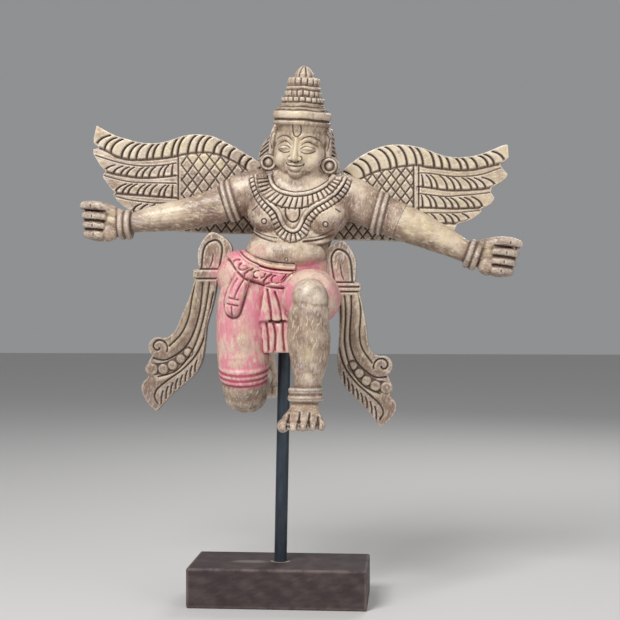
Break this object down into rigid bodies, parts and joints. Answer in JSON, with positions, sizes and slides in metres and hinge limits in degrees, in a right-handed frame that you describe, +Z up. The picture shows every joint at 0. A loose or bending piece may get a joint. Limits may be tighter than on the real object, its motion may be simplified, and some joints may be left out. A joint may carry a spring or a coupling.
{
  "type": "wooden garuda sculpture",
  "caption": "Carved and painted wooden garuda, kneeling with arms and wings spread, held above a dark wooden block by an iron rod.",
  "frame": {"origin": "middle of the block's underside", "axes": "+Z up, +X to the viewer's right when facing the figure, +Y towards its back"},
  "size_m": [0.4407, 0.166, 0.5322],
  "materials": {
    "painted_wood": "worn cream and ochre paint with brown in the cuts, pink on the cloth",
    "dark_wood": "dark stained, satin, sawn",
    "black_iron": "blackened, satin"
  },
  "bodies": {
    "root": {"base_block": "dark_wood", "support_rod": "black_iron", "figure_body": "painted_wood", "right_arm": "painted_wood", "left_arm": "painted_wood", "right_wing": "painted_wood", "left_wing": "painted_wood", "right_sash": "painted_wood", "left_sash": "painted_wood"}
  },
  "joints": []
}
